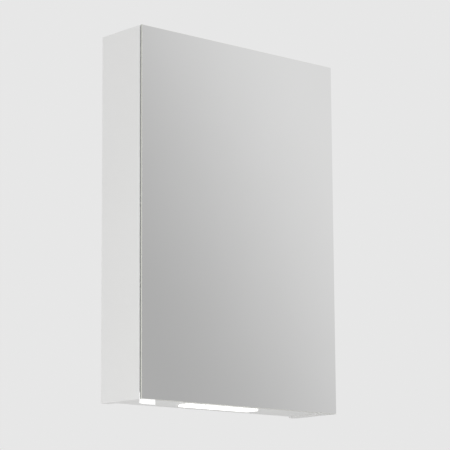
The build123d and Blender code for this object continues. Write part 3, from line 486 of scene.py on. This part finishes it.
@dataclass(frozen=True)
class Screw:
    """A cross-recessed screw: a surface of revolution with a cross pressed into its face.

    Attributes:
        shape: Outline of the head.
        head_radius: Radius of the head.
        head_height: Height of the head along the screw.
        shank_radius: Radius of the shank.
        length: Whole length, from the face to the tip.
        around: Steps round the screw.
        reach: Reach of the cross from the middle, as a share of the head's radius.
        arm: Half width of the cross's arms, as a share of the head's radius.
        sink: Depth of the cross, as a share of the head's height.
    """

    shape: HeadShape
    head_radius: float
    head_height: float
    shank_radius: float
    length: float
    around: int = 72
    reach: float = 0.62
    arm: float = 0.17
    sink: float = 0.62

    def face_radii(self) -> np.ndarray:
        """Give the radii of the rings on the head's face."""
        return np.linspace(*FACE_RINGS) * self.head_radius

    def outline(self) -> np.ndarray:
        """Give the rings from the face's middle to the tip.

        A ring is a radius and a depth below the face. A pan head's rim is a quarter circle: the
        radius grows with the sine of its angle, and the depth with one less its cosine.

        Returns:
            Radius and depth of each ring, in two columns.
        """
        face = self.face_radii()
        flat = np.stack([face, np.zeros_like(face)], axis=1)
        if self.shape is HeadShape.PAN:
            round_over = RIM_ROUND * self.head_radius
            turn = np.linspace(0.0, np.pi / 2, RIM_RINGS)
            rim_radius = self.head_radius - round_over + round_over * np.sin(turn)
            rim = np.stack([rim_radius, round_over * (1.0 - np.cos(turn))], axis=1)
            collar = np.array([[self.head_radius, self.head_height]])
            rim = np.concatenate([rim, collar])
        else:
            rim = np.array([[self.head_radius, 0.0]])
        tip = TIP_LENGTH * self.shank_radius
        shank = np.array(
            [
                [self.shank_radius, self.head_height],
                [self.shank_radius, self.length - tip],
                [TIP_RADIUS * self.shank_radius, self.length],
            ]
        )
        return np.concatenate([flat, rim, shank])

    def surface(
        self, place: Sequence[float], inwards: Vector
    ) -> tuple[np.ndarray, list[list[int]]]:
        """Work out the screw's vertices and faces.

        A vertex is the place, plus the ring's radius times a direction that turns round the
        screw, plus its depth times the inward direction. On the face the depth grows by the
        cross: full where the smaller of the two offsets from the arms' middle lines is under the
        arm's half width and the radius is under the reach, with steep straight walls.

        Args:
            place: Middle of the head's face.
            inwards: Unit vector from the face to the tip.

        Returns:
            Vertices, one in a row, and the faces as lists of vertex numbers.
        """
        across = inwards.orthogonal().normalized()
        along = inwards.cross(across)
        outline = self.outline()
        angle = np.arange(self.around) * (2 * np.pi / self.around)
        first = outline[:, :1] * np.cos(angle)
        second = outline[:, :1] * np.sin(angle)
        depth = outline[:, 1:] + np.zeros_like(first)
        rings = len(self.face_radii())
        reach = self.reach * self.head_radius
        arm = self.arm * self.head_radius
        offset = np.minimum(np.abs(first), np.abs(second))[:rings]
        wall = np.clip((arm - offset) / (WALL_SHARE * arm), 0.0, 1.0)
        end = np.clip((reach - outline[:rings, :1]) / (END_SHARE * reach), 0.0, 1.0)
        depth[:rings] += self.sink * self.head_height * wall * end
        grid = np.stack([first, second, depth], axis=2).reshape(-1, 3)
        poles = np.array([[0.0, 0.0, self.sink * self.head_height], [0.0, 0.0, self.length]])
        local = np.concatenate([grid, poles])
        axes = np.array([across, along, inwards])
        return np.asarray(place) + local @ axes, self.faces(len(outline))

    def faces(self, rings: int) -> list[list[int]]:
        """List the four-sided faces between the rings and the two fans that close the ends."""
        step = np.arange(self.around)
        after = (step + 1) % self.around
        ring = np.arange(rings - 1)[:, None] * self.around
        below = ring + self.around
        corners = [ring + step, ring + after, below + after, below + step]
        quads = np.stack(corners, axis=2).reshape(-1, 4)
        last = (rings - 1) * self.around
        top = rings * self.around
        head_fan = np.stack([np.full_like(step, top), after, step], axis=1)
        tip_fan = np.stack([np.full_like(step, top + 1), last + step, last + after], axis=1)
        return quads.tolist() + head_fan.tolist() + tip_fan.tolist()

    def set_of(
        self, name: str, places: Sequence[Sequence[float]], inwards: Vector
    ) -> bpy.types.Object:
        """Make one piece of several screws that point the same way.

        Args:
            name: Name of the piece.
            places: Middle of each head's face.
            inwards: Unit vector from each face to its tip.

        Returns:
            The piece, linked to the scene.
        """
        vertices: list[np.ndarray] = []
        faces: list[list[int]] = []
        for place in places:
            start = sum(len(part) for part in vertices)
            points, sides = self.surface(place, inwards)
            vertices.append(points)
            faces += [[start + number for number in side] for side in sides]
        mesh = bpy.data.meshes.new(name)
        mesh.from_pydata(np.concatenate(vertices).tolist(), [], faces)
        mesh.polygons.foreach_set("use_smooth", np.ones(len(faces), dtype=bool))
        mesh.set_sharp_from_angle(angle=math.radians(SHARP_ANGLE))
        piece = bpy.data.objects.new(name, mesh)
        bpy.context.scene.collection.objects.link(piece)
        return piece


@dataclass
class Assembly:
    """A group of the cabinet's pieces that are dressed together.

    Attributes:
        nodes: The loaded pieces by name.
        finishes: Name of each piece in the group, and its finish.
    """

    nodes: dict[str, bpy.types.Object]
    finishes: dict[str, Finish] = field(default_factory=dict)

    def build(self) -> None:
        """Make the pieces that the group adds to the loaded ones. Most groups add none."""

    def stand_for(self, piece: bpy.types.Object, node: str, finish: Finish) -> None:
        """Put a detailed piece in the place of a loaded one. Both belong to the carcass.

        Args:
            piece: The detailed piece.
            node: Name of the loaded piece that it stands for.
            finish: Finish of the detailed piece.
        """
        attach(piece, "carcass")
        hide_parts(node)
        self.nodes[piece.name] = piece
        self.finishes.pop(node, None)
        self.finishes[piece.name] = finish

    def dress(self) -> None:
        """Give each piece of the group its finish."""
        for name, finish in self.finishes.items():
            material = bpy.data.materials.get(finish.name) or finish.build()
            piece = self.nodes[name]
            piece.data.materials.clear()
            piece.data.materials.append(material)
            log.info("%s: %s", name, finish.name)


@dataclass
class Carcass(Assembly):
    """Boards, back sheet, dowels, shelves and their pins."""

    def __post_init__(self) -> None:
        """List the group's pieces."""
        for name in ("left_side_panel", "right_side_panel", "top_panel", "bottom_panel"):
            self.finishes[name] = WHITE_BOARD
        self.finishes.update(
            back_panel=BACK_SHEET,
            corner_dowels=BEECH,
            glass_shelf_lower=SHELF,
            glass_shelf_upper=SHELF,
            shelf_pins=NICKEL,
            door_buffers=BUFFER,
        )


@dataclass
class Door(Assembly):
    """Two mirror sheets, the film between them and the grip.

    Attributes:
        arris: Width of the ground edge of each sheet.
    """

    arris: float = 0.0006

    def __post_init__(self) -> None:
        """List the group's pieces."""
        self.finishes.update(
            front_mirror=FRONT_SILVER.fitted(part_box("front_mirror"), self.arris),
            rear_mirror=REAR_SILVER.fitted(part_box("rear_mirror"), self.arris),
            mirror_bond_film=BOND,
            door_grip=GRIP_PAINTED_GLOW,
        )


@dataclass
class Hinges(Assembly):
    """Plates, arms, links, cups, rivets and screws of both hinges.

    Attributes:
        plate_screw: Countersunk screw of the mounting plates.
        plate_screw_spacing: Distance between the two screws of one plate.
        arm_screw: Pan-head screw that clamps an arm to its plate.
    """

    plate_screw: Screw = Screw(HeadShape.COUNTERSUNK, 0.0038, 0.00207, 0.0020, 0.0155)
    plate_screw_spacing: float = 0.032
    arm_screw: Screw = Screw(HeadShape.PAN, 0.0036, 0.0020, 0.0020, 0.0141)

    def __post_init__(self) -> None:
        """List the group's pieces."""
        for place in ("lower", "upper"):
            for part in ("plate", "arm", "cup"):
                self.finishes[f"hinge_{part}_{place}"] = NICKEL
            for part in ("outer_link", "inner_link"):
                self.finishes[f"hinge_{part}_{place}"] = ZINC
        for part in ("arm_rivets", "cup_rivets"):
            self.finishes[f"hinge_{part}"] = RIVET_STEEL
        for part in ("plate_screws", "arm_screws"):
            self.finishes[f"hinge_{part}"] = NICKEL

    def build(self) -> None:
        """Make both sets of screws with their recesses, on the places of the plain ones."""
        into_side = Vector((1.0, 0.0, 0.0))
        low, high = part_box("hinge_plate_screws")
        radius = self.plate_screw.head_radius
        lowest, highest = low[2] + radius, high[2] - radius
        heights = (
            lowest, lowest + self.plate_screw_spacing, highest - self.plate_screw_spacing, highest
        )
        places = [(low[0], (low[1] + high[1]) / 2, height) for height in heights]
        screw = replace(self.plate_screw, length=high[0] - low[0])
        plates = screw.set_of("plate_screws_crossed", places, into_side)
        self.stand_for(plates, "hinge_plate_screws", NICKEL)
        low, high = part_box("hinge_arm_screws")
        radius = self.arm_screw.head_radius
        places = [
            (low[0], back, height)
            for height in (low[2] + radius, high[2] - radius)
            for back in (low[1] + radius, high[1] - radius)
        ]
        screw = replace(self.arm_screw, length=high[0] - low[0])
        arms = screw.set_of("arm_screws_crossed", places, into_side)
        self.stand_for(arms, "hinge_arm_screws", NICKEL)


@dataclass
class Hangers(Assembly):
    """Boxes, hooks, wall plates, caps and screws that hang the cabinet."""

    def __post_init__(self) -> None:
        """List the group's pieces."""
        for side in ("left", "right"):
            for part in ("hanger_box", "hanger_hook", "wall_plate"):
                self.finishes[f"{part}_{side}"] = ZINC
            self.finishes[f"hanger_cap_{side}"] = WHITE_MOULDING
        self.finishes["hanger_screws"] = NICKEL


@dataclass
class Lamp(Assembly):
    """Tray, strip and lens of the lamp, with its driver, lead and switch.

    Attributes:
        driver_screw: Pan-head screw of the driver's feet.
    """

    driver_screw: Screw = Screw(HeadShape.PAN, 0.0034, 0.0022, 0.0017, 0.0142)

    def __post_init__(self) -> None:
        """List the group's pieces."""
        self.finishes.update(
            lamp_tray=TRAY_METAL,
            lamp_strip=STRIP_LIT,
            lamp_lens=LENS_LIT,
            driver_case=DRIVER_MOULDING,
            driver_lid=DRIVER_MOULDING,
            driver_screws=NICKEL,
            lamp_lead=LEAD_SHEATH,
            switch_frame=SWITCH_WHITE,
            rocker=SWITCH_WHITE,
        )

    def build(self) -> None:
        """Make the driver's two screws with their recesses, on the places of the plain ones."""
        low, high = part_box("driver_screws")
        radius = self.driver_screw.head_radius
        middle = (low[1] + high[1]) / 2
        places = [(left, middle, high[2]) for left in (low[0] + radius, high[0] - radius)]
        screw = replace(self.driver_screw, length=high[2] - low[2])
        piece = screw.set_of("driver_screws_crossed", places, Vector((0.0, 0.0, -1.0)))
        self.stand_for(piece, "driver_screws", NICKEL)


@dataclass(frozen=True)
class SoftLamp:
    """A square area lamp that the camera and the mirror don't see.

    Attributes:
        name: Name of the lamp.
        place: Position of its middle.
        side: Side of the square.
        power: Power, in watts.
    """

    name: str
    place: tuple[float, float, float]
    side: float
    power: float


LAMP_AIM = Vector((0.0, -0.06, -0.29))
SOFT_LAMPS = (
    SoftLamp("key_lamp", (-3.2, -2.2, 1.2), 2.6, 19.0),
    SoftLamp("side_lamp", (2.6, -3.0, 0.4), 2.4, 12.0),
    SoftLamp("low_lamp", (-1.0, -1.1, -1.8), 1.2, 18.0),
)


@dataclass
class Studio:
    """Floor, world, lamps and camera round the cabinet.

    Attributes:
        floor_level: Height of the floor.
        floor_side: Side of the square floor.
        backdrop: Grey of the background seen by the camera.
        fill: Brightness of the even light from all sides.
        room_dim: Grey of the dim side of the room that the mirror sees.
        room_bright: Grey of its bright side.
        room_tilt: Slope of the change above the level, in degrees.
        room_start: Measure along the slope where the room begins to brighten.
        room_end: Measure along the slope where it is fully bright.
        camera_place: Position of the camera.
        yaw, pitch, roll: Direction of the camera, in degrees.
        focal_px: Focal length, in pixels of the square picture.
    """

    floor_level: float = -1.90
    floor_side: float = 16.0
    backdrop: float = 0.80
    fill: float = 0.77
    room_dim: float = 0.440
    room_bright: float = 0.738
    room_tilt: float = 24.0
    room_start: float = 0.012
    room_end: float = 0.143
    camera_place: tuple[float, float, float] = (-2.655, -3.062, -1.026)
    yaw: float = 41.60
    pitch: float = 10.51
    roll: float = -0.358
    focal_px: float = 2077.0

    def build(self) -> None:
        """Make everything round the cabinet."""
        self.floor()
        self.world()
        self.lamps()
        self.camera()
        bpy.context.scene.view_settings.view_transform = "Standard"

    def floor(self) -> None:
        """Lay a square floor, a grid of two by two corners at the floor's level."""
        half = self.floor_side / 2
        u, v = np.meshgrid((-half, half), (-half, half), indexing="ij")
        corners = np.stack([u.ravel(), v.ravel(), np.full(4, self.floor_level)], axis=1)
        mesh = bpy.data.meshes.new("floor")
        mesh.from_pydata(corners.tolist(), [], [(0, 2, 3, 1)])
        floor = bpy.data.objects.new("floor", mesh)
        bpy.context.scene.collection.objects.link(floor)
        mesh.materials.append(PALE_FLOOR.build())

    def world(self) -> None:
        """Light evenly from all sides.

        The camera sees a plain pale background, and the mirror sees a soft room.
        """
        world = bpy.data.worlds.new("studio")
        bpy.context.scene.world = world
        world.use_nodes = True
        graph = Graph(world.node_tree)
        path = graph.add("ShaderNodeLightPath")
        fill = graph.add("ShaderNodeBackground", in_Strength=1.0)
        fill.inputs["Color"].default_value = (self.fill, self.fill, self.fill, 1.0)
        seen = graph.add("ShaderNodeBackground", in_Strength=1.0)
        seen.inputs["Color"].default_value = (self.backdrop, self.backdrop, self.backdrop, 1.0)
        room = graph.add("ShaderNodeBackground", in_Strength=1.0)
        graph.wire(self.room_colour(graph), room.inputs["Color"])
        glossy = graph.add("ShaderNodeMixShader")
        graph.wire(path.outputs["Is Glossy Ray"], glossy.inputs["Fac"])
        graph.wire(fill.outputs[0], glossy.inputs[1])
        graph.wire(room.outputs[0], glossy.inputs[2])
        clear = graph.add("ShaderNodeMath", operation="MAXIMUM")
        graph.wire(path.outputs["Is Camera Ray"], clear.inputs[0])
        graph.wire(path.outputs["Is Transmission Ray"], clear.inputs[1])
        camera = graph.add("ShaderNodeMixShader")
        graph.wire(clear.outputs["Value"], camera.inputs["Fac"])
        graph.wire(glossy.outputs["Shader"], camera.inputs[1])
        graph.wire(seen.outputs[0], camera.inputs[2])
        output = graph.add("ShaderNodeOutputWorld")
        graph.wire(camera.outputs["Shader"], output.inputs["Surface"])

    def room_colour(self, graph: Graph) -> bpy.types.NodeSocket:
        """Grey of the room that the mirror sees. It brightens to the right and upwards.

        The measure is a dot product of the ray's direction with one fixed slope vector. A smooth
        step takes it from dim to bright over the few degrees that the door shows, and it is held
        flat beyond them.
        """
        direction = graph.add("ShaderNodeTexCoord").outputs["Generated"]
        azimuth = math.radians(self.yaw)
        tilt = math.radians(self.room_tilt)
        level = math.cos(tilt)
        slope = Vector((math.cos(azimuth) * level, math.sin(azimuth) * level, math.sin(tilt)))
        dot = graph.add("ShaderNodeVectorMath", operation="DOT_PRODUCT")
        dot.inputs[1].default_value = slope
        graph.wire(direction, dot.inputs[0])
        step = graph.add("ShaderNodeMapRange", interpolation_type="SMOOTHSTEP")
        step.inputs["From Min"].default_value = self.room_start
        step.inputs["From Max"].default_value = self.room_end
        step.inputs["To Min"].default_value = self.room_dim
        step.inputs["To Max"].default_value = self.room_bright
        graph.wire(dot.outputs["Value"], step.inputs["Value"])
        joined = graph.add("ShaderNodeCombineColor")
        for channel in ("Red", "Green", "Blue"):
            graph.wire(step.outputs["Result"], joined.inputs[channel])
        return joined.outputs["Color"]

    def lamps(self) -> None:
        """Hang a broad soft lamp to the camera's left, and weaker ones to its right and below."""
        for soft in SOFT_LAMPS:
            data = bpy.data.lights.new(soft.name, "AREA")
            data.shape = "SQUARE"
            data.size = soft.side
            data.energy = soft.power
            lamp = bpy.data.objects.new(soft.name, data)
            lamp.location = soft.place
            sight = LAMP_AIM - Vector(soft.place)
            lamp.rotation_euler = sight.to_track_quat("-Z", "Y").to_euler()
            lamp.visible_glossy = False
            lamp.visible_camera = False
            bpy.context.scene.collection.objects.link(lamp)

    def camera(self) -> None:
        """Stand the camera where the photograph was taken from.

        The axes follow from yaw about Z, then pitch upwards, then roll about the line of sight.
        """
        yaw, pitch, roll = map(math.radians, (self.yaw, self.pitch, self.roll))
        level = Vector((math.sin(yaw), math.cos(yaw), 0.0))
        right = Vector((math.cos(yaw), -math.sin(yaw), 0.0))
        ahead = level * math.cos(pitch) + Vector((0.0, 0.0, math.sin(pitch)))
        up = Vector((0.0, 0.0, math.cos(pitch))) - level * math.sin(pitch)
        turned_right = right * math.cos(roll) + up * math.sin(roll)
        turned_up = up * math.cos(roll) - right * math.sin(roll)
        data = bpy.data.cameras.new("camera")
        data.sensor_width = SENSOR_WIDTH
        data.lens = self.focal_px * SENSOR_WIDTH / IMAGE_SIDE
        data.clip_end = CLIP_END
        camera = bpy.data.objects.new("camera", data)
        axes = Matrix((turned_right, turned_up, -ahead)).transposed().to_4x4()
        camera.matrix_world = Matrix.Translation(Vector(self.camera_place)) @ axes
        bpy.context.scene.collection.objects.link(camera)
        bpy.context.scene.camera = camera


def main() -> None:
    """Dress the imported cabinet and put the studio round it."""
    logging.basicConfig(level=logging.INFO, format="%(name)s: %(message)s")
    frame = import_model()
    for kind in (Carcass, Door, Hinges, Hangers, Lamp):
        assembly = kind(frame["nodes"])
        assembly.build()
        assembly.dress()
    Studio().build()


if __name__ == "__main__":
    main()
